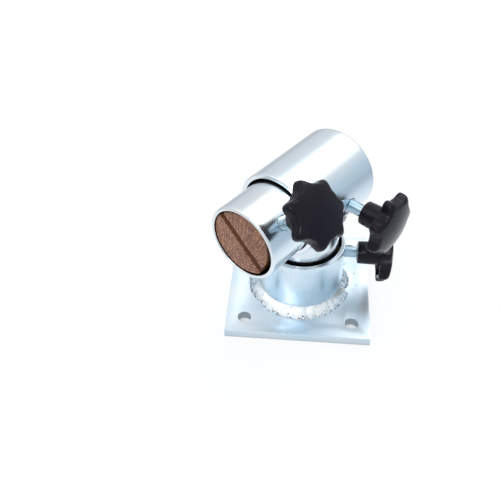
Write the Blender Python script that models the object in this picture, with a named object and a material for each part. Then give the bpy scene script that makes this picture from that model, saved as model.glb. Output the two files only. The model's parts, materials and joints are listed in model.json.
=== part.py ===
"""Knife vise: a square base plate, a swivelling post and a head that clamps a blade between oak jaws.

Metres, +Z up. The origin is the centre of the base plate's underside, on the swivel axis.
+X runs along the plate's front edge, and the plate's front edge is on the -Y side.
"""

import math

import bmesh
import bpy
from mathutils import Matrix, Vector

# Base plate
plate_side = 0.120
plate_thickness = 0.008
plate_bevel = 0.0008
plate_hole_diameter = 0.011
plate_hole_inset = 0.0153

# The post and the jaw tube are cut from the same steel pipe
pipe_diameter = 0.0603
pipe_wall = 0.0029
tube_rim_bevel = 0.0009

# Socket tube welded on the plate, in which the post swivels
base_tube_clearance = 0.00255
base_tube_wall = 0.0036
base_weld_leg = 0.0076
base_weld_crown = 0.0006

# Head tube on the post, measured from the swivel axis towards its front and its rear
head_tube_clearance = 0.00125
head_tube_wall = 0.0036
head_axis_height = 0.1085
head_front_reach = 0.0358
head_rear_reach = 0.0436
head_rear_round = 0.0028
head_yaw_degrees = 36.2
post_weld_leg = 0.0042
post_weld_crown = 0.0005
post_weld_rise = 0.0093

# Jaw tube that turns in the head
jaw_tube_length = 0.118
jaw_tube_front_reach = 0.0748

# Oak jaws in the jaw tube, and the slot between them for the blade
slot_width = 0.0055
slot_offset = 0.00145
jaw_turn_degrees = 6
jaw_length = 0.080
jaw_recess = 0.0012
jaw_edge_bevel = 0.0006
moving_jaw_back_play = 0.00235
moving_jaw_round_play = 0.00195
moving_jaw_side_shift = 0.0008

# Pressure plate let into the moving jaw's back, with round ends
pressure_plate_width = 0.016
pressure_plate_straight = 0.006
pressure_plate_thickness = 0.003
pressure_plate_depth = 0.003
plate_screw_edge_margin = 0.0006
plate_screw_head_diameter = 0.0052
plate_screw_head_height = 0.0014
plate_screw_shank_diameter = 0.0025
plate_screw_length = 0.0085

# Countersunk screws that hold the fixed jaw
jaw_screw_head_diameter = 0.0078
jaw_screw_head_height = 0.0022
jaw_screw_shank_diameter = 0.0038
jaw_screw_length = 0.016
jaw_screw_sink = 0.0004
jaw_screw_first_inset = 0.011
jaw_screw_spacing = 0.017

# Threaded studs, and the neck and clip that hold the pressure plate on the clamp screw
stud_diameter = 0.010
stud_point_bevel = 0.0010
stud_embedded_length = 0.013
neck_diameter = 0.0064
neck_end_length = 0.0012
clip_groove_diameter = 0.0050
clip_width = 0.0024
clip_thickness = 0.0010
clip_mouth_degrees = 70

# Thrust pads on the tips of the two locking studs
pad_diameter = 0.0086
pad_thickness = 0.0012
pad_stem_diameter = 0.0040
pad_stem_length = 0.0032

# Where the three screws stand
clamp_angle_degrees = 42
clamp_mouth_distance = 0.0198
clamp_stand_off = 0.0133
head_lock_behind_post = 0.011
head_lock_stand_off = 0.0128
base_lock_rim_distance = 0.0125
base_lock_stand_off = 0.0103

# Star knobs
knob_lobes = 7
knob_height = 0.0292
star_tip_radius = 0.0250
star_valley_radius = 0.0208
star_dome_valley_radius = 0.0196
star_lobe_narrowing_share = 0.45
dome_edge_inset = 0.0016
star_rim_top = 0.0252
star_rim_bottom = 0.0172
star_edge_round = 0.0025
star_back_round = 0.0015
star_rim_wall = 0.0028
star_pocket_depth = 0.0042
hub_end_diameter = 0.0188
hub_root_diameter = 0.0196
hub_bevel = 0.0008
clamp_knob_turn_degrees = 11.2
head_lock_knob_turn_degrees = 13.3
base_lock_knob_turn_degrees = 0.9

# Clearances
seat_gap = 0.0003
cut_overrun = 0.002

# How finely round shapes are divided
tube_sides = 72
rod_sides = 24
clip_steps = 18
lobe_steps = 8
dome_rings = 4
rear_round_steps = 4
jaw_arc_steps = 28
smooth_angle_degrees = 35
weld_face_shares = (1 / 3, 2 / 3)

# Base
plate_hole_offset = plate_side / 2 - plate_hole_inset
post_radius = pipe_diameter / 2
base_bore_radius = post_radius + base_tube_clearance
base_tube_radius = base_bore_radius + base_tube_wall
base_tube_foot = plate_thickness + seat_gap

# Head and jaw tube; the base tube ends under the post weld's lowest point
jaw_tube_radius = pipe_diameter / 2
jaw_bore_radius = jaw_tube_radius - pipe_wall
head_bore_radius = jaw_tube_radius + head_tube_clearance
head_radius = head_bore_radius + head_tube_wall
base_tube_top = head_axis_height - head_radius - post_weld_leg - post_weld_rise
jaw_tube_drop = head_tube_clearance - seat_gap
jaw_tube_rear = jaw_tube_front_reach - jaw_tube_length

# Jaws
jaw_front = jaw_tube_front_reach - jaw_recess
jaw_rear = jaw_front - jaw_length
moving_face = slot_width / 2 - slot_offset
fixed_face = slot_width / 2 + slot_offset
fixed_jaw_radius = jaw_bore_radius - seat_gap
moving_jaw_radius = jaw_bore_radius - moving_jaw_round_play
moving_back = jaw_bore_radius - moving_jaw_back_play

# Pressure plate, neck and clip, as distances from the jaw tube's axis
plate_end_radius = pressure_plate_width / 2
pressure_plate_top = moving_back - pressure_plate_depth
pressure_plate_bottom = pressure_plate_top - pressure_plate_thickness
plate_screw_offset = (
    plate_end_radius
    + pressure_plate_straight / 2
    - plate_screw_head_diameter / 2
    - plate_screw_edge_margin
)
plate_screw_tip = pressure_plate_top - plate_screw_length
neck_radius = neck_diameter / 2
groove_radius = clip_groove_diameter / 2
groove_top = pressure_plate_bottom - seat_gap
clip_top = groove_top - seat_gap
clip_bottom = clip_top - clip_thickness
groove_bottom = clip_bottom - seat_gap
neck_end = groove_bottom - neck_end_length
clip_inner_radius = groove_radius + seat_gap
clip_outer_radius = clip_inner_radius + clip_width

# Screws
stud_radius = stud_diameter / 2
screw_hole_radius = stud_radius + seat_gap
clamp_station = jaw_tube_front_reach - clamp_mouth_distance
clamp_hub_end = jaw_tube_radius + clamp_stand_off
head_lock_hub_end = head_radius + head_lock_stand_off
base_lock_height = base_tube_top - base_lock_rim_distance
base_lock_hub_end = base_tube_radius + base_lock_stand_off
jaw_screw_top = jaw_tube_radius - jaw_screw_sink
jaw_screw_tip = jaw_screw_top - jaw_screw_length
jaw_screw_front = jaw_tube_front_reach - jaw_screw_first_inset
jaw_screw_rear = jaw_screw_front - jaw_screw_spacing

# Knobs
hub_end_radius = hub_end_diameter / 2
hub_root_radius = hub_root_diameter / 2
star_pocket_roof = star_rim_bottom + star_pocket_depth
knob_bore_end = stud_embedded_length + seat_gap

full_turn = 2 * math.pi


def clear_scene():
    """Remove every object that the file was opened with."""
    for item in list(bpy.data.objects):
        bpy.data.objects.remove(item, do_unlink=True)


def ring(radius, height, sides):
    """Points of a circle round the local Z axis."""
    points = []
    for step in range(sides):
        angle = full_turn * step / sides
        points.append((radius * math.cos(angle), radius * math.sin(angle), height))
    return points


def bridge(bm, first, second):
    """Faces between two rings of vertices, either of which may be a single point."""
    count = max(len(first), len(second))
    for step in range(count):
        after = (step + 1) % count
        if len(first) == 1:
            bm.faces.new((first[0], second[step], second[after]))
        elif len(second) == 1:
            bm.faces.new((first[step], first[after], second[0]))
        else:
            bm.faces.new((first[step], first[after], second[after], second[step]))


def skin(name, rings, closed=False, capped=False):
    """Mesh with faces from ring to ring; closed joins the last ring to the first one."""
    bm = bmesh.new()
    loops = [[bm.verts.new(point) for point in points] for points in rings]
    for first, second in zip(loops, loops[1:]):
        bridge(bm, first, second)
    if closed:
        bridge(bm, loops[-1], loops[0])
    if capped:
        bm.faces.new(loops[0])
        bm.faces.new(loops[-1])
    bmesh.ops.recalc_face_normals(bm, faces=bm.faces)
    mesh = bpy.data.meshes.new(name)
    bm.to_mesh(mesh)
    bm.free()
    mesh.shade_smooth()
    mesh.set_sharp_from_angle(angle=math.radians(smooth_angle_degrees))
    return mesh


def prism(name, outline, start, end):
    """Straight bar along the local Z axis with the outline as its section."""
    return skin(name, [[(x, y, level) for x, y in outline] for level in (start, end)], capped=True)


def turned(name, profile, sides, closed=False):
    """Solid of revolution about the local Z axis from (radius, height) points."""
    rings = []
    for radius, height in profile:
        if radius == 0:
            rings.append([(0, 0, height)])
        else:
            rings.append(ring(radius, height, sides))
    return skin(name, rings, closed)


def rod(name, radius, start, end):
    """Plain round bar along the local Z axis."""
    return turned(name, [(0, start), (radius, start), (radius, end), (0, end)], rod_sides)


def outer_rim(radius, end, size, inward, steps):
    """Chamfer of one step, or a rounding of more, from a tube's outer wall to its end face."""
    points = []
    for step in range(steps + 1):
        angle = math.pi / 2 * step / steps
        points.append((radius - size * (1 - math.cos(angle)), end + inward * size * (1 - math.sin(angle))))
    return points


def tube(name, outer, inner, start, end, start_size=tube_rim_bevel, start_steps=1):
    """Tube along the local Z axis with its outer rims broken."""
    low = outer_rim(outer, start, start_size, 1, start_steps)
    high = outer_rim(outer, end, tube_rim_bevel, -1, 1)
    profile = [(inner, start)] + low[::-1] + high + [(inner, end)]
    return turned(name, profile, tube_sides, closed=True)


def place(name, mesh, parent, location=(0, 0, 0)):
    """Add an object for the mesh at a place in its parent's frame."""
    item = bpy.data.objects.new(name, mesh)
    bpy.context.scene.collection.objects.link(item)
    item.parent = parent
    item.location = location
    return item


def axis_frame(name, parent, origin, direction, reference):
    """Empty with local +Z along direction and local +X as near to reference as it can be."""
    z_axis = Vector(direction).normalized()
    x_axis = (Vector(reference) - z_axis * z_axis.dot(Vector(reference))).normalized()
    matrix = Matrix((x_axis, z_axis.cross(x_axis), z_axis)).transposed().to_4x4()
    matrix.translation = origin
    frame = place(name, None, parent)
    frame.matrix_basis = matrix
    return frame


def cut(item, mesh, parent, location=(0, 0, 0)):
    """Take the mesh, placed in the parent's frame, out of the item."""
    tool = place(mesh.name, mesh, parent, location)
    tool.hide_render = True
    tool.display_type = "WIRE"
    boolean = item.modifiers.new("Cut " + tool.name, "BOOLEAN")
    boolean.operation = "DIFFERENCE"
    boolean.solver = "EXACT"
    boolean.object = tool


def bevel_edges(item, width):
    """Small chamfer along the sharp edges."""
    bevel = item.modifiers.new("Edges", "BEVEL")
    bevel.width = width
    bevel.segments = 1
    bevel.limit_method = "ANGLE"
    bevel.angle_limit = math.radians(smooth_angle_degrees)


def finish(item, colour, roughness, metallic):
    """Give the item a material of its own, also where it shares its mesh."""
    material = bpy.data.materials.new(item.name + "_finish")
    material.use_nodes = True
    shader = material.node_tree.nodes["Principled BSDF"]
    shader.inputs["Base Color"].default_value = (*colour, 1)
    shader.inputs["Roughness"].default_value = roughness
    shader.inputs["Metallic"].default_value = metallic
    if not item.data.materials:
        item.data.materials.append(None)
    item.material_slots[0].link = "OBJECT"
    item.material_slots[0].material = material


def zinc(item):
    """Zinc-plated steel."""
    finish(item, (0.72, 0.76, 0.80), 0.32, 1)


def weld_metal(item):
    """Bright, rough weld bead."""
    finish(item, (0.82, 0.84, 0.86), 0.42, 1)


def oak(item):
    """Oiled oak."""
    finish(item, (0.30, 0.17, 0.10), 0.62, 0)


def black_plastic(item):
    """Glossy black moulding."""
    finish(item, (0.012, 0.012, 0.014), 0.28, 0)


def brass(item):
    """Turned brass."""
    finish(item, (0.72, 0.52, 0.22), 0.34, 1)


def weld_section(corner_radius, height_at, reach, rise, crown):
    """Section of a fillet between an upright wall and a surface with a known height at each radius.

    It reaches out along the surface, and rises or drops along the wall.
    """
    corner = Vector((corner_radius, height_at(corner_radius)))
    middle = Vector((corner_radius + reach / 2, height_at(corner_radius + reach / 2)))
    toe = Vector((corner_radius + reach, height_at(corner_radius + reach)))
    top = corner + Vector((0, rise))
    along = (top - toe).normalized()
    outward = Vector((along.y, -along.x))
    if outward.dot(toe - corner) < 0:
        outward.negate()
    face = [toe.lerp(top, share) + outward * crown for share in weld_face_shares]
    return [corner, middle, toe] + face + [top]


def ring_weld(name, section_at):
    """Closed bead round the local Z axis; its section may change on its way."""
    stations = []
    for step in range(tube_sides):
        angle = full_turn * step / tube_sides
        points = []
        for radius, height in section_at(angle):
            points.append((radius * math.cos(angle), radius * math.sin(angle), height))
        stations.append(points)
    return skin(name, stations, closed=True)


def make_base():
    """Plate with its bolt holes, the socket tube and the weld between them."""
    half = plate_side / 2
    square = [(-half, -half), (half, -half), (half, half), (-half, half)]
    plate = place("base_plate", prism("base_plate", square, 0, plate_thickness), None)
    bevel_edges(plate, plate_bevel)
    hole = rod("plate_hole", plate_hole_diameter / 2, -cut_overrun, plate_thickness + cut_overrun)
    for x_side in (-1, 1):
        for y_side in (-1, 1):
            cut(plate, hole, None, (x_side * plate_hole_offset, y_side * plate_hole_offset, 0))
    zinc(plate)

    mesh = tube("base_tube", base_tube_radius, base_bore_radius, base_tube_foot, base_tube_top)
    socket = place("base_tube", mesh, None)
    zinc(socket)

    section = weld_section(
        base_tube_radius + seat_gap,
        lambda radius: base_tube_foot,
        base_weld_leg,
        base_weld_leg,
        base_weld_crown,
    )
    weld_metal(place("base_weld", ring_weld("base_weld", lambda angle: section), None))
    return socket


def make_head(swivel, head_axis):
    """Post, head tube and the weld between them."""
    post_bore_radius = post_radius - pipe_wall
    mesh = tube("swivel_post", post_radius, post_bore_radius, base_tube_foot, head_axis_height)
    post = place("swivel_post", mesh, swivel)
    saddle_radius = head_radius + seat_gap
    saddle_end = post_radius + cut_overrun
    saddle = turned(
        "saddle",
        [(0, -saddle_end), (saddle_radius, -saddle_end), (saddle_radius, saddle_end), (0, saddle_end)],
        tube_sides,
    )
    cut(post, saddle, head_axis)
    zinc(post)

    mesh = tube(
        "head_tube",
        head_radius,
        head_bore_radius,
        -head_rear_reach,
        head_front_reach,
        head_rear_round,
        rear_round_steps,
    )
    head = place("head_tube", mesh, head_axis)
    zinc(head)

    def section(angle):
        wall = post_radius + seat_gap
        across_share = abs(math.cos(angle))

        def underside(radius):
            return head_axis_height - math.sqrt(saddle_radius**2 - (radius * across_share) ** 2)

        slope = wall * across_share**2 / math.sqrt(saddle_radius**2 - (wall * across_share) ** 2)
        reach = post_weld_leg / math.hypot(1, slope)
        return weld_section(wall, underside, reach, -post_weld_leg, post_weld_crown)

    weld_metal(place("post_weld", ring_weld("post_weld", section), swivel))
    return head


def jaw_mesh(name, radius, back, face, shift):
    """Round bar split along its length, with its round back at +Y and its flat face square to Y."""
    centre = back - radius
    half_angle = math.acos((face - centre) / radius)
    outline = []
    for step in range(jaw_arc_steps + 1):
        angle = half_angle * (2 * step / jaw_arc_steps - 1)
        outline.append((shift + radius * math.sin(angle), centre + radius * math.cos(angle)))
    return prism(name, outline, jaw_rear, jaw_front)


def countersunk_screw(name, head_reach, head_height, shank_radius, top, tip):
    """Countersunk screw along the local Z axis, with its head at the top."""
    profile = [
        (0, top),
        (head_reach, top),
        (shank_radius, top - head_height),
        (shank_radius, tip + shank_radius),
        (0, tip),
    ]
    return turned(name, profile, rod_sides)


def countersunk_hole(name, head_reach, head_height, shank_radius, top, tip):
    """Hole that clears a countersunk screw on every side and is open above it."""
    profile = [
        (0, top + cut_overrun),
        (head_reach + seat_gap, top + cut_overrun),
        (head_reach + seat_gap, top),
        (shank_radius + seat_gap, top - head_height),
        (shank_radius + seat_gap, tip - seat_gap),
        (0, tip - seat_gap),
    ]
    return turned(name, profile, rod_sides)


def make_jaw_tube(jaw_axis, jaw_turn, clamp_axis):
    """Jaw tube, the fixed jaw and the two countersunk screws that hold it."""
    mesh = tube("jaw_tube", jaw_tube_radius, jaw_bore_radius, jaw_tube_rear, jaw_tube_front_reach)
    barrel = place("jaw_tube", mesh, jaw_axis)
    hole_start = jaw_bore_radius - cut_overrun
    hole_end = jaw_tube_radius + cut_overrun
    cut(barrel, rod("clamp_hole", screw_hole_radius, hole_start, hole_end), clamp_axis)

    fixed_side = axis_frame("fixed_side", jaw_turn, (0, 0, 0), (0, 0, 1), (-1, 0, 0))
    mesh = jaw_mesh("fixed_jaw", fixed_jaw_radius, fixed_jaw_radius, fixed_face, 0)
    jaw = place("fixed_jaw", mesh, fixed_side)
    bevel_edges(jaw, jaw_edge_bevel)

    sizes = (
        jaw_screw_head_diameter / 2,
        jaw_screw_head_height,
        jaw_screw_shank_diameter / 2,
        jaw_screw_top,
        jaw_screw_tip,
    )
    screw = countersunk_screw("fixed_jaw_screw", *sizes)
    hole = countersunk_hole("fixed_jaw_screw_hole", *sizes)
    for end, station in (("front", jaw_screw_front), ("rear", jaw_screw_rear)):
        axis = axis_frame("fixed_jaw_screw_axis", fixed_side, (0, 0, station), (0, 1, 0), (0, 0, 1))
        cut(barrel, hole, axis)
        cut(jaw, hole, axis)
        zinc(place("fixed_jaw_screw_" + end, screw, axis))
    zinc(barrel)
    oak(jaw)


def stadium(end_radius, straight):
    """Outline with two straight sides along Y and round ends."""
    points = []
    half_steps = rod_sides // 2
    for end in (1, -1):
        for step in range(half_steps + 1):
            angle = math.pi * step / half_steps
            along = straight / 2 + end_radius * math.sin(angle)
            points.append((end * end_radius * math.cos(angle), end * along))
    return points


def make_moving_jaw(jaw_turn, clamp_axis):
    """Moving jaw with the pressure plate let into its back and the plate's two screws."""
    mesh = jaw_mesh("moving_jaw", moving_jaw_radius, moving_back, moving_face, -moving_jaw_side_shift)
    jaw = place("moving_jaw", mesh, jaw_turn)
    bevel_edges(jaw, jaw_edge_bevel)
    pocket_floor = pressure_plate_bottom - seat_gap
    pocket_outline = stadium(plate_end_radius + seat_gap, pressure_plate_straight)
    cut(jaw, prism("plate_pocket", pocket_outline, pocket_floor, moving_back + cut_overrun), clamp_axis)
    clip_room = clip_outer_radius + seat_gap
    cut(jaw, rod("clip_pocket", clip_room, neck_end - seat_gap, pressure_plate_bottom), clamp_axis)

    outline = stadium(plate_end_radius, pressure_plate_straight)
    mesh = prism("pressure_plate", outline, pressure_plate_bottom, pressure_plate_top)
    plate = place("pressure_plate", mesh, clamp_axis)
    neck_hole = rod(
        "neck_hole",
        neck_radius + seat_gap,
        pressure_plate_bottom - cut_overrun,
        pressure_plate_top + cut_overrun,
    )
    cut(plate, neck_hole, clamp_axis)

    sizes = (
        plate_screw_head_diameter / 2,
        plate_screw_head_height,
        plate_screw_shank_diameter / 2,
        pressure_plate_top,
        plate_screw_tip,
    )
    screw = countersunk_screw("plate_screw", *sizes)
    hole = countersunk_hole("plate_screw_hole", *sizes)
    for side, offset in (("left", -plate_screw_offset), ("right", plate_screw_offset)):
        cut(plate, hole, clamp_axis, (0, offset, 0))
        cut(jaw, hole, clamp_axis, (0, offset, 0))
        zinc(place("pressure_plate_screw_" + side, screw, clamp_axis, (0, offset, 0)))
    zinc(plate)
    oak(jaw)


def dome_height(radius):
    """Height of the knob's dome at a distance from its axis."""
    return knob_height - (knob_height - star_rim_top) * (radius / star_tip_radius) ** 2


def star_ring(height_at, valley_radius, inset=0, dome_share=1):
    """Points on the star's outline, drawn in evenly by an inset or towards the axis by a share."""
    mean = (star_tip_radius + valley_radius) / 2
    swing = (star_tip_radius - valley_radius) / 2
    sides = knob_lobes * lobe_steps
    points = []
    for step in range(sides):
        angle = full_turn * step / sides
        wave = math.cos(knob_lobes * angle)
        wave -= star_lobe_narrowing_share * (1 - wave**2)
        radius = dome_share * (mean - inset + swing * wave)
        points.append((radius * math.cos(angle), radius * math.sin(angle), height_at(radius)))
    return points


def knob_mesh():
    """Star knob with a hub, its hub's end at height zero and a blind bore for the stud.

    The valleys between the lobes lean inwards from the back of the rim to the dome.
    """
    sides = knob_lobes * lobe_steps
    shoulder = star_rim_top - star_edge_round
    back = star_rim_bottom + star_back_round

    def valley_radius(height):
        lean_share = (height - star_rim_bottom) / (dome_height(star_dome_valley_radius) - star_rim_bottom)
        return star_valley_radius + (star_dome_valley_radius - star_valley_radius) * lean_share

    rings = [[(0, 0, knob_height)]]
    for step in range(1, dome_rings + 1):
        rings.append(star_ring(dome_height, star_dome_valley_radius, dome_edge_inset, step / dome_rings))
    for level, inset in (
        (shoulder, 0),
        (back, 0),
        (star_rim_bottom, star_back_round),
        (star_rim_bottom, star_rim_wall),
        (star_pocket_roof, star_rim_wall),
    ):
        rings.append(star_ring(lambda radius, height=level: height, valley_radius(level), inset))
    rings.append(ring(hub_root_radius, star_pocket_roof, sides))
    rings.append(ring(hub_end_radius, hub_bevel, sides))
    rings.append(ring(hub_end_radius - hub_bevel, 0, sides))
    rings.append(ring(screw_hole_radius, 0, sides))
    rings.append(ring(screw_hole_radius, knob_bore_end, sides))
    rings.append([(0, 0, knob_bore_end)])
    return skin("star_knob", rings)


def make_knob(name, mesh, axis, hub_end, turn_degrees):
    """Star knob on a screw's axis."""
    knob = place(name, mesh, axis, (0, 0, hub_end))
    knob.rotation_euler.z = math.radians(turn_degrees)
    black_plastic(knob)


def make_clip(clamp_axis):
    """Open clip in the neck's groove, under the pressure plate."""
    half_mouth = math.radians(clip_mouth_degrees) / 2
    corners = [
        (clip_inner_radius, clip_bottom),
        (clip_outer_radius, clip_bottom),
        (clip_outer_radius, clip_top),
        (clip_inner_radius, clip_top),
    ]
    stations = []
    for step in range(clip_steps + 1):
        angle = half_mouth + (full_turn - 2 * half_mouth) * step / clip_steps
        across = math.cos(angle)
        up = math.sin(angle)
        stations.append([(radius * across, radius * up, level) for radius, level in corners])
    zinc(place("clamp_clip", skin("clamp_clip", stations, capped=True), clamp_axis))


def make_clamp_screw(clamp_axis, star):
    """Clamp screw: a stud with a neck through the pressure plate, its clip and its knob."""
    shoulder = pressure_plate_top + seat_gap
    end = clamp_hub_end + stud_embedded_length
    profile = [
        (0, neck_end),
        (neck_radius, neck_end),
        (neck_radius, groove_bottom),
        (groove_radius, groove_bottom),
        (groove_radius, groove_top),
        (neck_radius, groove_top),
        (neck_radius, shoulder),
        (stud_radius - stud_point_bevel, shoulder),
        (stud_radius, shoulder + stud_point_bevel),
        (stud_radius, end),
        (0, end),
    ]
    zinc(place("clamp_stud", turned("clamp_stud", profile, rod_sides), clamp_axis))
    make_clip(clamp_axis)
    make_knob("clamp_knob", star, clamp_axis, clamp_hub_end, clamp_knob_turn_degrees)


def make_lock(name, star, axis, tapped, bore_radius, outer_radius, held_radius, hub_end, turn_degrees):
    """Locking screw through a tube's wall: the pad on its tip, the stud and the knob."""
    hole = rod(name + "_hole", screw_hole_radius, bore_radius - cut_overrun, outer_radius + cut_overrun)
    cut(tapped, hole, axis)

    pad_inner = held_radius + seat_gap
    pad_outer = pad_inner + pad_thickness
    stem_radius = pad_stem_diameter / 2
    stem_end = pad_outer + pad_stem_length
    profile = [
        (0, pad_inner),
        (pad_diameter / 2, pad_inner),
        (pad_diameter / 2, pad_outer),
        (stem_radius, pad_outer),
        (stem_radius, stem_end),
        (0, stem_end),
    ]
    brass(place(name + "_pad", turned(name + "_pad", profile, rod_sides), axis))

    tip = pad_outer + seat_gap
    end = hub_end + stud_embedded_length
    profile = [
        (0, stem_end + seat_gap),
        (stem_radius + seat_gap, stem_end + seat_gap),
        (stem_radius + seat_gap, tip),
        (stud_radius - stud_point_bevel, tip),
        (stud_radius, tip + stud_point_bevel),
        (stud_radius, end),
        (0, end),
    ]
    zinc(place(name + "_stud", turned(name + "_stud", profile, rod_sides), axis))
    make_knob(name + "_knob", star, axis, hub_end, turn_degrees)


def main():
    """Build the whole vise."""
    clear_scene()
    swivel = place("swivel", None, None)
    swivel.rotation_euler.z = -math.radians(head_yaw_degrees)
    forward = (0, -1, 0)
    clamp_angle = math.radians(clamp_angle_degrees)
    head_axis = axis_frame("head_axis", swivel, (0, 0, head_axis_height), forward, (1, 0, 0))
    jaw_axis = axis_frame(
        "jaw_axis",
        swivel,
        (0, 0, head_axis_height - jaw_tube_drop),
        forward,
        (math.sin(clamp_angle), 0, -math.cos(clamp_angle)),
    )
    jaw_turn = place("jaw_turn", None, jaw_axis)
    jaw_turn.rotation_euler.z = math.radians(jaw_turn_degrees)
    clamp_axis = axis_frame("clamp_axis", jaw_axis, (0, 0, clamp_station), (0, 1, 0), (0, 0, 1))
    head_lock_place = (0, 0, -head_lock_behind_post)
    head_lock_axis = axis_frame("head_lock_axis", head_axis, head_lock_place, (1, 0, 0), (0, 1, 0))
    base_lock_place = (0, 0, base_lock_height)
    base_lock_axis = axis_frame("base_lock_axis", None, base_lock_place, (1, 0, 0), (0, 0, 1))

    socket = make_base()
    head = make_head(swivel, head_axis)
    make_jaw_tube(jaw_axis, jaw_turn, clamp_axis)
    make_moving_jaw(jaw_turn, clamp_axis)
    star = knob_mesh()
    make_clamp_screw(clamp_axis, star)
    make_lock(
        "head_lock",
        star,
        head_lock_axis,
        head,
        head_bore_radius,
        head_radius,
        jaw_tube_radius,
        head_lock_hub_end,
        head_lock_knob_turn_degrees,
    )
    make_lock(
        "base_lock",
        star,
        base_lock_axis,
        socket,
        base_bore_radius,
        base_tube_radius,
        post_radius,
        base_lock_hub_end,
        base_lock_knob_turn_degrees,
    )


main()
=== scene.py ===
"""Finished surfaces of a knife vise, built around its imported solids.

Metres, +Z up. The swivel's axis is the Z axis, and the plate's front edge is on the -Y side.
"""

import json
import math
import random
from functools import partial

import bmesh
import bpy
from bpy.props import FloatProperty, FloatVectorProperty, IntProperty, PointerProperty
from bpy.types import Operator, Panel, PropertyGroup
from mathutils import Matrix, Vector, noise


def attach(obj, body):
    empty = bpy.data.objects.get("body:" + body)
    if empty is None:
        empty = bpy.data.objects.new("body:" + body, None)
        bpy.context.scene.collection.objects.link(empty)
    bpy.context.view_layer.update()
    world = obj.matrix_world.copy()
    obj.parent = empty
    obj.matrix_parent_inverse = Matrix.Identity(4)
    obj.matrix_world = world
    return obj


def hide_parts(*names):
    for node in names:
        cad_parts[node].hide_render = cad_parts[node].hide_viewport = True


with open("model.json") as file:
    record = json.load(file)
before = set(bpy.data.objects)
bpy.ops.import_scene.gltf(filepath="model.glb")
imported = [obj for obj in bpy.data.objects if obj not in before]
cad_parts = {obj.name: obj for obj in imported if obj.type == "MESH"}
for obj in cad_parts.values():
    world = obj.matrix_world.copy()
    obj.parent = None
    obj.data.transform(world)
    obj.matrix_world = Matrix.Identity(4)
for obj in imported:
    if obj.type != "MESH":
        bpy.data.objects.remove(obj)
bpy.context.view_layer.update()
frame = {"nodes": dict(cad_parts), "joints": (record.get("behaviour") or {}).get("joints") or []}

bl_info = {
    "name": "Knife Vise Looks",
    "version": (1, 0, 0),
    "blender": (4, 5, 0),
    "location": "3D View > Sidebar > Vise",
    "description": "Builds the finished surfaces of a knife vise around its packed solids",
    "category": "Object",
}

full_turn = 2 * math.pi
quarter_turn = math.pi / 2
upright = Matrix.Identity(4)
joints = {joint["name"]: joint for joint in frame["joints"]}

# The gap between two pieces that meet, and between a weld and the steel under it
clearance = 0.0003
weld_gap = 0.00005
# How far a cutter reaches past the wall that it cuts
overshoot = 0.003
# How deep a countersunk head lies under the jaw tube's surface
head_depth = 0.0004


def linear(hex_colour):
    """Linear red, green and blue of an sRGB hex colour."""
    values = []
    for start in (0, 2, 4):
        share = int(hex_colour[start : start + 2], 16) / 255
        values.append(share / 12.92 if share <= 0.04045 else ((share + 0.055) / 1.055) ** 2.4)
    return tuple(values)


def opaque(colour):
    """The colour with an alpha of one."""
    return (*colour[:3], 1)


def length(title, description, default):
    """A size in metres."""
    settings = {"default": default, "min": 0, "unit": "LENGTH", "precision": 5}
    return FloatProperty(name=title, description=description, **settings)


def colour(title, description, hex_colour):
    """A surface colour."""
    settings = {"default": linear(hex_colour), "min": 0, "max": 1, "subtype": "COLOR"}
    return FloatVectorProperty(name=title, description=description, **settings)


class PlateSizes(PropertyGroup):
    """Base plate, with the origin at the centre of its underside."""

    side: length("Side", "Edge length of the square plate", 0.120)
    thickness: length("Thickness", "Thickness of the plate", 0.008)
    edge: length("Edge", "Width of the broken edges", 0.0009)
    hole: length("Hole", "Diameter of a bolt hole", 0.011)
    inset: length("Hole inset", "From the plate's edge to a hole's centre", 0.0153)


class TubeSizes(PropertyGroup):
    """The four tubes and their rims."""

    pipe: length("Pipe", "Outer radius of the post and of the jaw tube", 0.03015)
    pipe_wall: length("Pipe wall", "Wall of the post and of the jaw tube", 0.0029)
    rim: length("Rim", "Rounding of a sawn and filed rim", 0.0009)
    base_outer: length("Base tube", "Outer radius of the base tube", 0.0363)
    base_bore: length("Base bore", "Inner radius of the base tube", 0.0327)
    base_foot: length("Base foot", "Height of the base tube's lower end", 0.0083)
    base_top: length("Base top", "Height of the base tube's upper end", 0.0600)
    head_outer: length("Head", "Outer radius of the head tube", 0.0350)
    head_bore: length("Head bore", "Inner radius of the head tube", 0.0314)
    head_height: length("Head height", "Height of the head tube's axis", 0.1085)
    head_front: length("Head front", "From the swivel axis to the head's front rim", 0.0358)
    head_rear: length("Head rear", "From the swivel axis to the head's rear rim", 0.0436)
    head_rear_round: length("Rear rim", "Rounding of the head's rear rim", 0.0028)
    jaw_front: length("Jaw tube front", "From the swivel axis to the jaw tube's mouth", 0.0748)
    jaw_rear: length("Jaw tube rear", "From the swivel axis to the jaw tube's rear end", 0.0432)
    jaw_rim: length("Jaw tube rim", "Rounding of the jaw tube's rims", 0.0014)


class WeldSizes(PropertyGroup):
    """Weld beads."""

    base_leg: length("Base weld", "Leg of the bead round the base tube", 0.0078)
    post_leg: length("Post weld", "Leg of the bead under the head", 0.0044)
    ripple: length("Ripple", "Distance from ripple to ripple", 0.0021)
    ripple_depth: length("Ripple depth", "Height of a ripple", 0.00022)
    wander: length("Wander", "How far the bead's toe wanders", 0.0009)
    spatter: IntProperty(name="Spatter", description="Small beads of spatter on the plate", default=26, min=0)


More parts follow.
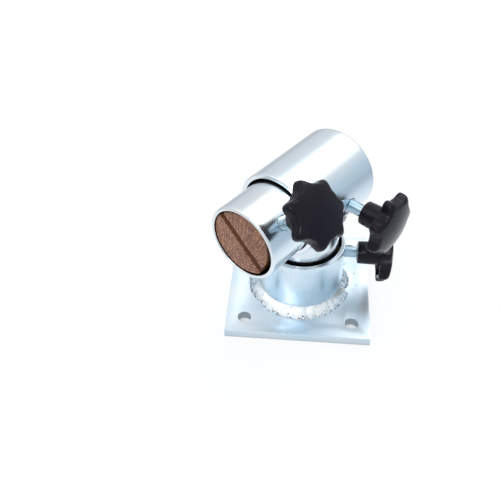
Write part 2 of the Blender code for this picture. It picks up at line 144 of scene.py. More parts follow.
class ScrewSizes(PropertyGroup):
    """The three clamping screws and the jaw's countersunk screws."""

    radius: length("Thread radius", "Outer radius of the thread", 0.005)
    pitch: length("Pitch", "Distance from thread to thread", 0.0015)
    depth: length("Thread depth", "Depth of the thread", 0.00085)
    bore: length("Bore", "Radius of the bore in a knob", 0.0053)
    embedded: length("Embedded length", "Length of a stud inside its knob", 0.013)
    clamp_hub: length("Clamp knob", "From the jaw tube's axis to the clamp knob's hub", 0.04345)
    head_hub: length("Head lock knob", "From the head's axis to the knob's hub", 0.0478)
    base_hub: length("Base lock knob", "From the base tube's axis to the knob's hub", 0.0466)
    head_radius: length("Screw head", "Radius of a countersunk head", 0.0039)
    head_height: length("Head height", "Height of a countersunk head", 0.0022)
    shank: length("Shank", "Radius of a countersunk screw's shank", 0.0019)
    screw_length: length("Screw length", "Length of a countersunk screw", 0.016)
    socket: length("Socket", "Half the width of the hexagon socket", 0.00125)


class KnobSizes(PropertyGroup):
    """Star knob, with its hub's end at height zero."""

    lobes: IntProperty(name="Lobes", description="Number of lobes", default=7, min=3)
    height: length("Height", "From the hub's end to the dome's top", 0.0292)
    tip: length("Tip radius", "Radius at a lobe's tip", 0.0250)
    valley: length("Valley radius", "Radius in a valley at the rim's back", 0.0208)
    dome_valley: length("Dome valley radius", "Radius in a valley at the dome", 0.0196)
    rim_top: length("Rim top", "Height of the dome over a lobe's tip", 0.0252)
    rim_bottom: length("Rim bottom", "Height of the rim's back", 0.0172)
    hub_end: length("Hub end", "Radius of the hub's end", 0.0094)
    hub_root: length("Hub root", "Radius of the hub at the rim", 0.0098)
    pocket: length("Pocket", "Depth of the pocket in the rim's back", 0.0042)
    wall: length("Rim wall", "Wall round the pocket", 0.0028)


class Finishes(PropertyGroup):
    """Colours of the finishes."""

    zinc: colour("Zinc", "Bright zinc plating", "E2E6EA")
    zinc_cold: colour("Cold film", "Blue passivation film", "C0DCEC")
    zinc_warm: colour("Warm film", "Thick passivation film, straw yellow", "DCD0BC")
    bead: colour("Weld bead", "Plated weld bead", "F6F9FA")
    oak_light: colour("Light oak", "Early wood", "B08064")
    oak_dark: colour("Dark oak", "Late wood", "492919")
    oak_warm: colour("Warm oak", "Wood that took more oil", "8E5C31")
    plastic: colour("Black plastic", "Moulded knob", "0F0B15")
    brass: colour("Brass", "Turned pad, tarnished", "6C5530")


class StageSizes(PropertyGroup):
    """Camera and floor."""

    lens: FloatProperty(name="Lens", description="Focal length", default=47.51, min=1, unit="CAMERA")
    floor: length("Floor", "Side of the floor", 6.0)


class ViseSettings(PropertyGroup):
    """All sizes and colours."""

    plate: PointerProperty(type=PlateSizes)
    tubes: PointerProperty(type=TubeSizes)
    welds: PointerProperty(type=WeldSizes)
    screws: PointerProperty(type=ScrewSizes)
    knobs: PointerProperty(type=KnobSizes)
    finishes: PointerProperty(type=Finishes)
    stage: PointerProperty(type=StageSizes)


# Places: the frames of the tubes and screws, with local +Z along each axis


def axis_place(origin, direction, reference):
    """Frame with +Z along direction and +X as near to reference as it can be."""
    z_axis = Vector(direction).normalized()
    x_axis = (Vector(reference) - z_axis * z_axis.dot(Vector(reference))).normalized()
    matrix = Matrix((x_axis, z_axis.cross(x_axis), z_axis)).transposed().to_4x4()
    matrix.translation = origin
    return matrix


def joint_place(name, reference):
    """The axis of a joint, with +X as near to reference as it can be."""
    return axis_place(joints[name]["pos_m"], joints[name]["axis"], reference)


def lock_place(name):
    """A lock's axis, with +X up."""
    return joint_place(name, (0, 0, 1))


def jaw_screw_place(station):
    """A countersunk screw's axis, pointing out of the fixed jaw's round back."""
    outward = -jaw_place.col[1].to_3d()
    along = jaw_place.col[2].to_3d()
    return axis_place(jaw_place.translation + along * station, outward, along)


# The jaw tube's frame has +Y towards the clamp screw, whose frame has +X towards the mouth
forward = Vector(joints["barrel_turn"]["axis"])
barrel_place = joint_place("barrel_turn", Vector(joints["clamp_turn"]["axis"]).cross(forward))
clamp_place = joint_place("clamp_turn", forward)
# The jaws are turned a little from the clamp screw
jaw_turn = math.radians(6)
jaw_place = barrel_place @ Matrix.Rotation(jaw_turn, 4, "Z")


# Meshes


def closed_loop(sides, point_at, *values):
    """Points round the local Z axis; point_at gives the radius and the height at an angle."""
    points = []
    for step in range(sides):
        angle = full_turn * step / sides
        radius, height = point_at(angle, *values)
        points.append((radius * math.cos(angle), radius * math.sin(angle), height))
    return points


def ring(radius, height, sides):
    """Circle of points round the local Z axis."""
    return closed_loop(sides, lambda angle: (radius, height))


def smoothed(mesh, degrees):
    """The mesh, smooth but for edges sharper than the angle."""
    mesh.shade_smooth()
    mesh.set_sharp_from_angle(angle=math.radians(degrees))
    return mesh


def from_bmesh(name, bm):
    """Mesh of a bmesh, which is freed."""
    mesh = bpy.data.meshes.new(name)
    bm.to_mesh(mesh)
    bm.free()
    return mesh


def shell(name, rings, closed=False, capped=False, edges=None, smooth_degrees=32):
    """Mesh from ring to ring, with the share of filed edge at each ring as an attribute."""
    bm = bmesh.new()
    layer = bm.verts.layers.float.new("filed_edge")
    loops = []
    for index, points in enumerate(rings):
        loop = [bm.verts.new(point) for point in points]
        for vertex in loop:
            vertex[layer] = edges[index] if edges else 0
        loops.append(loop)
    pairs = list(zip(loops, loops[1:]))
    if closed:
        pairs.append((loops[-1], loops[0]))
    for first, second in pairs:
        count = max(len(first), len(second))
        for step in range(count):
            after = (step + 1) % count
            if len(first) == 1:
                bm.faces.new((first[0], second[step], second[after]))
            elif len(second) == 1:
                bm.faces.new((first[step], first[after], second[0]))
            else:
                bm.faces.new((first[step], first[after], second[after], second[step]))
    if capped:
        bm.faces.new(loops[0])
        bm.faces.new(loops[-1])
    bmesh.ops.recalc_face_normals(bm, faces=bm.faces)
    return smoothed(from_bmesh(name, bm), smooth_degrees)


def turned(name, profile, sides, closed=False, edges=None):
    """Solid of revolution from (radius, height) points."""
    rings = [[(0, 0, height)] if radius == 0 else ring(radius, height, sides) for radius, height in profile]
    return shell(name, rings, closed, edges=edges)


def rounded(corner, before, after, size, steps):
    """Points of a quarter round at a corner of a profile, between the two directions."""
    corner = Vector(corner)
    start = corner + (Vector(before) - corner).normalized() * size
    end = corner + (Vector(after) - corner).normalized() * size
    centre = start + end - corner
    points = []
    for step in range(steps + 1):
        swing = quarter_turn * (step / steps)
        points.append(tuple(centre + (start - centre) * math.cos(swing) + (end - centre) * math.sin(swing)))
    return points


def tube_mesh(name, outer, inner, start, end, rim, start_rim=None, sides=160):
    """Tube along the local Z axis with rounded rims and a saw's face at each end.

    Its attribute filed_edge is one at the rims and minus one inside, where the bore is painted near black as
    shade.
    """
    stride = 0.004
    rim_steps = 5
    to_rim = [0.35, 0.7, 1, 1, 1, 1]
    profile = []
    edges = []

    def wall(target, near_end, value):
        """Rows from the profile's last point to the target, about a stride apart."""
        last = Vector(profile[-1])
        gap = Vector(target) - last
        count = max(1, round(gap.length / stride))
        shares = [step / count for step in range(1, count)]
        if near_end:
            shares = [near_end / gap.length] + shares + [1 - near_end / gap.length]
        profile.extend(tuple(last + gap * share) for share in shares)
        edges.extend([value] * len(shares))

    for corner, before, after, size, shares in (
        ((inner, start), (inner, end), (outer, start), rim / 2, to_rim),
        ((outer, start), (inner, start), (outer, end), start_rim or rim, to_rim[::-1]),
        ((outer, end), (outer, start), (inner, end), rim, to_rim),
        ((inner, end), (outer, end), (inner, start), rim / 2, to_rim[::-1]),
    ):
        points = rounded(corner, before, after, size, rim_steps)
        if corner == (outer, end):
            wall(points[0], 0, 0)
        profile += points
        edges += shares
    # Minus one marks the bore's inside, whose colour is painted dark as shade
    wall(profile[0], 0.0002, -1)
    return turned(name, profile, sides, closed=True, edges=edges)


def rod_mesh(name, radius, start, end, sides=64):
    """Plain round bar along the local Z axis."""
    return turned(name, [(0, start), (radius, start), (radius, end), (0, end)], sides)


def wall_drill(radius, inner, outer):
    """Cutter for a hole through the wall of a tube, along the hole's axis."""
    return rod_mesh("hole", radius, inner - overshoot, outer + overshoot)


def carved(mesh, cutters, bevel=0):
    """The mesh with the cutters, each a mesh and its place, taken out, and its sharp edges broken."""
    body = bpy.data.objects.new("carved", mesh)
    bpy.context.scene.collection.objects.link(body)
    tools = []
    for cutter, place in cutters:
        tool = bpy.data.objects.new("cutter", cutter)
        tool.matrix_world = place
        bpy.context.scene.collection.objects.link(tool)
        tools.append(tool)
        difference = body.modifiers.new("Cut", "BOOLEAN")
        difference.operation = "DIFFERENCE"
        difference.solver = "EXACT"
        difference.object = tool
    if bevel:
        broken = body.modifiers.new("Edges", "BEVEL")
        broken.width = bevel
        broken.segments = 3
        broken.limit_method = "ANGLE"
        broken.angle_limit = math.radians(40)
    bpy.context.view_layer.update()
    evaluated = body.evaluated_get(bpy.context.evaluated_depsgraph_get())
    result = bpy.data.meshes.new_from_object(evaluated)
    result.name = mesh.name
    for item in [body] + tools:
        bpy.data.objects.remove(item)
    if not result.polygons:
        raise RuntimeError(result.name + " came out empty")
    return result


def threaded(name, sizes, start, end, sides=40):
    """Threaded rod along the local Z axis; its rows follow the helix, and both ends are pointed."""
    pitch = sizes.pitch
    minor = sizes.radius - sizes.depth
    # Where the flanks of one turn start and end, as shares of the pitch, and how deep they are
    pattern = ((0.06, 0), (0.40, 1), (0.60, 1), (0.94, 0))
    turns = math.ceil((end - start) / pitch) + 2

    def on_helix(angle, turn, share, depth):
        height = start - pitch + pitch * (turn + share + angle / full_turn)
        height = min(max(height, start), end)
        radius = sizes.radius - sizes.depth * depth
        return min(radius, minor + min(height - start, end - height)), height

    bm = bmesh.new()
    rows = []
    for turn in range(turns):
        for share, depth in pattern:
            points = closed_loop(sides, on_helix, turn, share, depth)
            rows.append([bm.verts.new(point) for point in points])
    count = len(pattern)
    for index in range(len(rows) - count - 1):
        for step in range(sides):
            if step + 1 < sides:
                low, high = rows[index][step + 1], rows[index + 1][step + 1]
            else:
                low, high = rows[index + count][0], rows[index + count + 1][0]
            corners = (rows[index][step], low, high, rows[index + 1][step])
            if (corners[0].co - corners[3].co).length + (corners[1].co - corners[2].co).length > 1e-7:
                bm.faces.new(corners)
    bmesh.ops.remove_doubles(bm, verts=bm.verts, dist=1e-6)
    bmesh.ops.dissolve_degenerate(bm, edges=bm.edges, dist=1e-7)
    loose = [vertex for vertex in bm.verts if not vertex.link_faces]
    bmesh.ops.delete(bm, geom=loose, context="VERTS")
    bmesh.ops.holes_fill(bm, edges=[edge for edge in bm.edges if edge.is_boundary], sides=0)
    bmesh.ops.recalc_face_normals(bm, faces=bm.faces)
    return smoothed(from_bmesh(name, bm), 50)


def joined(name, meshes):
    """One mesh from several (mesh, place) pairs."""
    bm = bmesh.new()
    for mesh, place in meshes:
        copy = mesh.copy()
        copy.transform(place)
        bm.from_mesh(copy)
        bpy.data.meshes.remove(copy)
    return from_bmesh(name, bm)


def piece(name, mesh, place, body, material, slot, *nodes):
    """Add a piece that rides with a body and stands for the nodes.

    Its points keep their local place as an attribute, for the grain that follows its axis.
    """
    points = [0.0] * (3 * len(mesh.vertices))
    mesh.vertices.foreach_get("co", points)
    own = mesh.attributes.new("own_place", "FLOAT_VECTOR", "POINT")
    own.data.foreach_set("vector", points)
    mesh.transform(place)
    item = bpy.data.objects.new(name, mesh)
    bpy.context.scene.collection.objects.link(item)
    mesh.materials.clear()
    mesh.materials.append(material)
    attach(item, body)
    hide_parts(*nodes)
    return item


def refinish(node, material):
    """Give a node that keeps its own solid another material."""
    item = frame["nodes"][node]
    item.data.materials.clear()
    item.data.materials.append(material)
    return item


# Materials


def fill(node, inputs):
    """Set or link a node's inputs, given as a tuple in their order or as a dictionary."""
    for key, value in inputs.items() if isinstance(inputs, dict) else enumerate(inputs):
        if isinstance(value, bpy.types.NodeSocket):
            node.id_data.links.new(value, node.inputs[key])
        else:
            node.inputs[key].default_value = value


def add_node(tree, kind, inputs=(), output=0, **settings):
    """Add a shader node, set it up, and return one of its outputs, or the node if output is None."""
    node = tree.nodes.new("ShaderNode" + kind)
    for key, value in settings.items():
        setattr(node, key, value)
    fill(node, inputs)
    return node if output is None else node.outputs[output]


def material_base(name):
    """A new material, the function that adds nodes to it, and its shader."""
    material = bpy.data.materials.new(name)
    material.use_nodes = True
    tree = material.node_tree
    return material, partial(add_node, tree), tree.nodes["Principled BSDF"]


def zinc_plated_steel(
    name, colours, along=(1, 1, 0.02), roughness=(0.16, 0.27), film=(0.35, 0.15), kept_solid=False
):
    """Bright zinc plating with a blue passivation film, on drawn tube or rolled plate.

    The drawing lines run along one axis. They show as fine soft streaks, and the film
    as slow clouds of blue and straw.
    """
    material, add, shader = material_base(name)
    if kept_solid:
        place = add("TexCoord", output="Object")
    else:
        place = add("Attribute", output="Vector", attribute_name="own_place")
    drawn = add("VectorMath", (place, along), operation="MULTIPLY")
    # Drawing lines are about 0.1 mm apart; 0.7 mm is as fine as the render can show
    lines = add("TexNoise", {"Vector": drawn, "Scale": 1 / 0.0014, "Detail": 4, "Roughness": 0.65})
    # Broad bands of 9 mm from the tube mill's rollers
    bands = add("TexNoise", {"Vector": drawn, "Scale": 1 / 0.018, "Detail": 2, "Roughness": 0.5})
    # The film's thickness changes over 15 to 30 mm, and more slowly along the drawing lines
    flowing = tuple(0.45 + 0.55 * min(share, 1) for share in along)
    drifting = add("VectorMath", (place, flowing), operation="MULTIPLY")
    clouds = {"Vector": drifting, "Scale": 1 / 0.030, "Detail": 3, "Roughness": 0.55, "Distortion": 0.6}
    clouds = add("TexNoise", clouds)
    # Fine grain of the zinc crystals, drawn at 0.5 mm
    grain = add("TexNoise", {"Vector": place, "Scale": 1 / 0.0009, "Detail": 2, "Roughness": 0.7})
    cold = add("MapRange", (clouds, 0.40, 0.62))
    warm = add("MapRange", (clouds, 0.40, 0.28))
    edge = add("Attribute", output="Fac", attribute_name="filed_edge")
    surface = opaque(colours.zinc)
    for share, tint in (
        (add("MapRange", (cold, 0, 1, film[0] / 2, film[0])), opaque(colours.zinc_cold)),
        (add("Math", (warm, film[1]), operation="MULTIPLY"), opaque(colours.zinc_warm)),
        # Small pits that the plating bridged, under half a millimetre
        (add("MapRange", (grain, 0.70, 0.78, 0, 0.45)), (0.16, 0.17, 0.18, 1)),
        # Filed rims, rubbed bright
        (add("MapRange", (edge, 0, 1, 0, 0.55)), (0.84, 0.86, 0.88, 1)),
        # Little plating reaches into a bore, which stays dark
        # Painted shade: the inside of a bore is painted near black
        (add("MapRange", (edge, 0, -0.5, 0, 0.93)), (0.045, 0.045, 0.048, 1)),
    ):
        surface = add("Mix", {0: share, 6: surface, 7: tint}, 2, data_type="RGBA")

    mixed = 0
    for pattern, share in ((lines, 0.35), (bands, 0.40), (clouds, 0.25)):
        mixed = add("Math", (pattern, share, mixed), operation="MULTIPLY_ADD")
    relief = add("Math", (grain, 0.3, lines), operation="MULTIPLY_ADD")
    fine = add("Bump", {"Height": relief, "Strength": 0.045, "Distance": 0.0002})
    wavy = add("Bump", {"Height": bands, "Strength": 0.14, "Distance": 0.0008, "Normal": fine})
    rough = add("MapRange", (mixed, 0.36, 0.64, *roughness))
    fill(shader, {"Base Color": surface, "Roughness": rough, "Metallic": 1, "Normal": wavy})
    return material


def plated_weld(name, colours):
    """Plated steel weld bead: bright and rippled, with pinholes and slag specks near its toe."""
    material, add, shader = material_base(name)
    place = add("TexCoord", output="Object")
    # Frozen ripples and lumps of 1 to 3 mm
    lumps = {"Vector": place, "Scale": 1 / 0.0032, "Detail": 4, "Roughness": 0.6, "Distortion": 0.4}
    lumps = add("TexNoise", lumps)
    # Pinholes of 0.5 to 1 mm, gathered at the toe
    holes = add("TexNoise", {"Vector": place, "Scale": 1 / 0.0017, "Detail": 2, "Roughness": 0.6})
    toe = add("Attribute", output="Fac", attribute_name="filed_edge")
    # The dull stretches carry painted bluish grey shade, and a few more pinholes
    dull = add("Attribute", output="Fac", attribute_name="dull")
    gathered = add("Math", (toe, 0.13, holes), operation="MULTIPLY_ADD")
    gathered = add("Math", (dull, 0.05, gathered), operation="MULTIPLY_ADD")
    pinholes = add("MapRange", (gathered, 0.66, 0.72))
    # Painted light and shade: the lumps' high points take the bright bead colour and their hollows stay
    # greyer
    painted_light_on_lumps = add("MapRange", (lumps, 0.35, 0.6))
    # Painted shade: along the dull stretches at the bead's left and right sides the colour turns bluish grey,
    # most in the lumps' hollows
    painted_grey_shade = add("MapRange", (lumps, 0.62, 0.38, 0.45, 0.95))
    painted_grey_shade = add("Math", (painted_grey_shade, dull), operation="MULTIPLY", use_clamp=True)
    surface = opaque(linear("DCE6EC"))
    for share, tint in (
        (painted_light_on_lumps, opaque(colours.bead)),
        (painted_grey_shade, opaque(linear("A3B6C6"))),
        (pinholes, (0.045, 0.05, 0.06, 1)),
    ):
        surface = add("Mix", {0: share, 6: surface, 7: tint}, 2, data_type="RGBA")
    rough = add("MapRange", (lumps, 0.35, 0.65, 0.52, 0.34))
    sunk = add("Math", (pinholes, -0.8, lumps), operation="MULTIPLY_ADD")
    bump = add("Bump", {"Height": sunk, "Strength": 0.35, "Distance": 0.0008})
    fill(shader, {"Base Color": surface, "Roughness": rough, "Metallic": 1, "Normal": bump})
    return material


def oiled_oak(name, colours, pith, light):
    """Oiled oak, sawn across at the ends, with its pith at a place across the jaws' frame.

    The end shows growth rings crossed by rays, with rows of open pores as short dark dashes.
    On the planed sides the same rings and pores run along the jaw and show faintly.
    """
    material, add, shader = material_base(name)
    where = add("TexCoord", output=None).outputs
    inverse = jaw_place.inverted()
    local = add("Mapping", (where["Object"], inverse.translation, inverse.to_euler()))
    facing = add("VectorMath", (where["Normal"], forward), "Value", operation="DOT_PRODUCT")
    facing = add("Math", (facing,), operation="ABSOLUTE")
    end_grain = add("MapRange", (facing, 0.3, 0.9, 0.3, 1))
    grain_space = add("VectorMath", (local, (1, 1, 0.06)), operation="MULTIPLY")
    from_pith = add("VectorMath", (grain_space, (*pith, 0)), operation="SUBTRACT")
    apart = add("SeparateXYZ", (from_pith,), None).outputs
    squares = add("Math", (apart["X"], apart["X"]), operation="MULTIPLY")
    squares = add("Math", (apart["Y"], apart["Y"], squares), operation="MULTIPLY_ADD")
    reach = add("Math", (squares,), operation="SQRT")
    bearing = add("Math", (apart["Y"], apart["X"]), operation="ARCTAN2")
    sway = add("TexNoise", {"Vector": grain_space, "Scale": 1 / 0.010, "Detail": 3, "Roughness": 0.6})
    # Growth rings of 1.5 mm are drawn 2.6 mm wide, so that they show, and sway a little
    ring_count = add("Math", (reach, 1 / 0.0026, sway), operation="MULTIPLY_ADD")
    # Rays stand about 2.4 mm apart
    ray_count = add("Math", (bearing, math.hypot(*pith) / 0.0024), operation="MULTIPLY")
    ring_phase = add("Math", (ring_count,), operation="FRACT")
    late = add("MapRange", (ring_phase, 0.35, 0.9))
    grid = add("CombineXYZ", (ring_count, ray_count, apart["Z"]))
    # Pores are 0.3 mm; the dashes stand over 2 mm apart, as fine as the render can show
    pores = add("TexVoronoi", {"Vector": grid, "Scale": 1, "Randomness": 0.55}, voronoi_dimensions="2D")
    pore_share = add("MapRange", (pores, 0.48, 0.20))
    # Rays: pale and narrow, 2 to 5 mm long
    ray_space = add("VectorMath", (grid, (0.4, 1.6, 1)), operation="MULTIPLY")
    rays = add("TexNoise", {"Vector": ray_space, "Scale": 1, "Detail": 2, "Roughness": 0.6})
    ray_share = add("MapRange", (rays, 0.52, 0.68))
    patches = add("TexNoise", {"Vector": grain_space, "Scale": 1 / 0.007, "Detail": 3, "Roughness": 0.65})
    fibres = add("TexNoise", {"Vector": grain_space, "Scale": 1 / 0.0012, "Detail": 3, "Roughness": 0.7})
    tone = add("Math", (late, 0.34), operation="MULTIPLY")
    tone = add("Math", (tone, end_grain), operation="MULTIPLY")
    for pattern, share in ((patches, 0.6), (fibres, 0.5)):
        tone = add("Math", (pattern, share, tone), operation="MULTIPLY_ADD")
    tone = add("MapRange", (tone, 0.42, 0.95))
    # Rays and pores show on the end and fade on the planed sides
    tints = []
    for share, strength in ((ray_share, 0.45), (pore_share, 0.62)):
        share = add("Math", (share, end_grain), operation="MULTIPLY")
        tints.append(add("Math", (share, strength), operation="MULTIPLY"))
    ray_tint, pore_tint = tints
    surface = opaque([value * light for value in colours.oak_light])
    for share, tint in (
        (tone, opaque([value * light for value in colours.oak_dark])),
        # Some patches took the oil more warmly
        (add("MapRange", (patches, 0.5, 0.3, 0, 0.55)), opaque(colours.oak_warm)),
        (ray_tint, opaque(linear("C8A090"))),
        (pore_tint, opaque(linear("45291F"))),
        # Painted shade: every planed face is darkened towards a deep brown, for the shade inside the slot
        # between the jaws
        (add("MapRange", (end_grain, 0.3, 0.8, 0.55, 0)), opaque(linear("5A2F17"))),
    ):
        surface = add("Mix", {0: share, 6: surface, 7: tint}, 2, data_type="RGBA")
    rough = add("MapRange", (tone, 0, 1, 0.50, 0.70))
    relief = add("Math", (pore_tint, -1, fibres), operation="MULTIPLY_ADD")
    bump = add("Bump", {"Height": relief, "Strength": 0.45, "Distance": 0.0004})
    fill(shader, {"Base Color": surface, "Roughness": rough, "Normal": bump})
    return material


def moulded_plastic(name, colours):
    """Glossy black thermoplastic from a polished mould, with fine orange peel and handling marks."""
    material, add, shader = material_base(name)
    place = add("TexCoord", output="Object")
    # Orange peel of 1.5 to 3 mm
    peel = add("TexNoise", {"Vector": place, "Scale": 1 / 0.0035, "Detail": 3, "Roughness": 0.55})
    # Handling marks: dull smears of about 8 mm
    smears = {"Vector": place, "Scale": 1 / 0.010, "Detail": 4, "Roughness": 0.65, "Distortion": 1.2}
    smears = add("TexNoise", smears)
    # Dust of 0.3 to 0.5 mm
    dust = add("TexNoise", {"Vector": place, "Scale": 1 / 0.0008, "Detail": 1, "Roughness": 0.5})
    dust_share = add("MapRange", (dust, 0.70, 0.80, 0, 0.30))
    surface = opaque(colours.plastic)
    for share, tint in ((smears, "16111D"), (dust_share, "2A2732")):
        surface = add("Mix", {0: share, 6: surface, 7: opaque(linear(tint))}, 2, data_type="RGBA")
    rough = add("MapRange", (smears, 0.35, 0.65, 0.10, 0.20))
    bump = add("Bump", {"Height": peel, "Strength": 0.08, "Distance": 0.0008})
    fill(shader, {"Base Color": surface, "Roughness": rough, "Normal": bump})
    fill(shader, {"IOR": 1.46, "Specular IOR Level": 0.2})
    return material


def turned_brass(name, colours):
    """Turned brass with a light tarnish, which gives it dull and bright patches."""
    material, add, shader = material_base(name)
    place = add("TexCoord", output="Object")
    # Tarnish in patches of 1 to 3 mm
    tarnish = add("TexNoise", {"Vector": place, "Scale": 1 / 0.003, "Detail": 4, "Roughness": 0.6})
    colours_of_metal = {0: tarnish, 6: opaque(colours.brass), 7: opaque(linear("4A3A24"))}
    surface = add("Mix", colours_of_metal, 2, data_type="RGBA")
    rough = add("MapRange", (tarnish, 0, 1, 0.22, 0.45))
    fill(shader, {"Base Color": surface, "Roughness": rough, "Metallic": 1})
    return material


def kept(name, make, *values, **settings):
    """The material of that name, made the first time that it is asked for."""
    return bpy.data.materials.get(name) or make(name, *values, **settings)


# Pieces


class VISE_OT_base_plate(Operator):
    """Square plate with four bolt holes, cut from rolled steel"""

    bl_idname = "vise.base_plate"
    bl_label = "Base plate"

    def execute(self, context):
        settings = context.scene.vise
        sizes = settings.plate
        half = sizes.side / 2
        square = [(-half, -half), (half, -half), (half, half), (-half, half)]
        faces = [[(x, y, z) for x, y in square] for z in (0, sizes.thickness)]
        mesh = shell("base_plate", faces, capped=True)
        hole = rod_mesh("hole", sizes.hole / 2, -overshoot, sizes.thickness + overshoot, 56)
        offset = half - sizes.inset
        cutters = [(hole, Matrix.Translation((x * offset, y * offset, 0))) for x in (-1, 1) for y in (-1, 1)]
        mesh = smoothed(carved(mesh, cutters, sizes.edge), 25)
        rolled = {"along": (0.2, 1, 1), "roughness": (0.38, 0.48), "film": (0.7, 0.2)}
        finish = kept("zinc_plated_plate", zinc_plated_steel, settings.finishes, **rolled)
        piece("plate", mesh, upright, "base", finish, "zinc_plated_steel", "base_plate")
        return {"FINISHED"}


class VISE_OT_tubes(Operator):
    """The base tube, the post, the head and the jaw tube"""

    bl_idname = "vise.tubes"
    bl_label = "Tubes"

    def execute(self, context):
        settings = context.scene.vise
        sizes = settings.tubes
        screws = settings.screws
        finish = kept("zinc_plated_tube", zinc_plated_steel, settings.finishes)
        slot = "zinc_plated_steel"

        ends = (sizes.base_foot, sizes.base_top)
        mesh = tube_mesh("base_tube", sizes.base_outer, sizes.base_bore, *ends, sizes.rim)
        hole = wall_drill(screws.bore, sizes.base_bore, sizes.base_outer)
        mesh = carved(mesh, [(hole, lock_place("base_lock_turn"))])
        blue_film = {"roughness": (0.22, 0.34), "film": (0.75, 0.45)}
        blue = kept("blue_zinc_plated_tube", zinc_plated_steel, settings.finishes, **blue_film)
        piece("socket_tube", mesh, upright, "base", blue, slot, "base_tube")

        bore = sizes.pipe - sizes.pipe_wall
        place = axis_place((0, 0, sizes.head_height), forward, joints["head_lock_turn"]["axis"])
        mesh = tube_mesh("post", sizes.pipe, bore, sizes.base_foot, sizes.head_height, sizes.rim)
        saddle_end = 0.034
        saddle = rod_mesh("saddle", sizes.head_outer + clearance, -saddle_end, saddle_end, 160)
        mesh = carved(mesh, [(saddle, place)])
        piece("post", mesh, upright, "head", finish, slot, "swivel_post")

        rims = (sizes.rim, sizes.head_rear_round)
        mesh = tube_mesh("head", sizes.head_outer, sizes.head_bore, -sizes.head_rear, sizes.head_front, *rims)
        hole = wall_drill(screws.bore, sizes.head_bore, sizes.head_outer)
        mesh = carved(mesh, [(hole, place.inverted() @ lock_place("head_lock_turn"))])
        piece("head", mesh, place, "head", finish, slot, "head_tube")

        to_barrel = barrel_place.inverted()
        mesh = tube_mesh("jaw_barrel", sizes.pipe, bore, -sizes.jaw_rear, sizes.jaw_front, sizes.jaw_rim)
        cutters = [(wall_drill(screws.bore, bore, sizes.pipe), to_barrel @ clamp_place)]
        reach = screws.head_radius + clearance
        shank = screws.shank + clearance
        top = sizes.pipe - head_depth
        bottom = bore - 0.004
        outline = [(0, top + overshoot), (reach, top + overshoot), (reach, top)]
        outline += [(shank, top - screws.head_height), (shank, bottom), (0, bottom)]
        sink = turned("sink", outline, 48)
        for station in jaw_screw_stations(sizes):
            cutters.append((sink, to_barrel @ jaw_screw_place(station)))
        piece("jaw_barrel", carved(mesh, cutters), barrel_place, "jaw_barrel", finish, slot, "jaw_tube")
        return {"FINISHED"}


def jaw_screw_stations(tubes):
    """Where the two countersunk screws stand along the jaw tube."""
    return [tubes.jaw_front - behind_mouth for behind_mouth in (0.011, 0.028)]


def bead_mesh(name, sizes, wall, leg, surface_at, rise, seed, restart, dull=()):
    """Fillet weld round the Z axis with ripples and a wandering toe.

    It starts and ends at the bearing restart. Each dull stretch, where the colour is painted bluish grey as
    shade, is a bearing and a half width.
    """
    steps = 420
    section = 9
    flank = leg - 0.0004
    crown_height = 0.0007
    grain_height = 0.00025
    restart_width = math.radians(4)

    def uneven(across, upward, waves, shift):
        """Noise that has about so many waves in the bead's radius."""
        return noise.noise(Vector((across * waves, upward * waves, seed + shift)))

    rings = []
    for step in range(steps):
        angle = full_turn * step / steps
        across = math.cos(angle)
        upward = math.sin(angle)
        arc = wall * angle
        wander = noise.fractal(Vector((across, upward, seed)) * 3.1, 1.0, 2.0, 3) * sizes.wander
        wander += uneven(across, upward, 19, 2) * sizes.wander * 0.8
        lump = uneven(across, upward, 9, 5) * sizes.wander * 0.45
        # Where the bead stops and starts again it sags to half its size
        off = math.remainder(angle - math.radians(restart), full_turn)
        full = 1 - 0.5 * math.exp(-((off / restart_width) ** 2))
        reach = flank * full + wander
        corner = Vector((wall, surface_at(wall, angle)))
        toe = Vector((wall + reach, surface_at(wall + reach, angle)))
        top = corner + Vector((0, rise * (flank * full + lump)))
        normal = (top - toe).normalized()
        outward = Vector((normal.y, -normal.x))
        if outward.dot(toe - corner) < 0:
            outward.negate()
        points = [corner, toe]
        for index in range(1, section):
            share = index / section
            crown = math.sin(math.pi * share)
            phase = arc / sizes.ripple + 0.9 * crown
            ripple = (phase - math.floor(phase)) ** 1.5 * sizes.ripple_depth * crown
            rough = uneven(across, upward, 26, share * 4) * grain_height
            offset = crown * crown_height + ripple + rough * crown
            points.append(toe.lerp(top, share) + outward * offset)
        points.append(top)
        rings.append([(point.x * across, point.x * upward, point.y) for point in points])
    mesh = shell(name, rings, closed=True, smooth_degrees=60)
    values = mesh.attributes["filed_edge"].data
    # The dull stretches, where the bead's colour is painted bluish grey as shade
    shades = mesh.attributes.new("dull", "FLOAT", "POINT").data
    for index, value in enumerate(values):
        step, row = divmod(index, section + 2)
        value.value = {1: 1, 2: 0.9, 3: 0.55, 4: 0.25}.get(row, 0)
        for bearing, width in dull:
            off = math.remainder(full_turn * step / steps - math.radians(bearing), full_turn)
            shades[index].value += math.exp(-((off / math.radians(width)) ** 2))
    return mesh


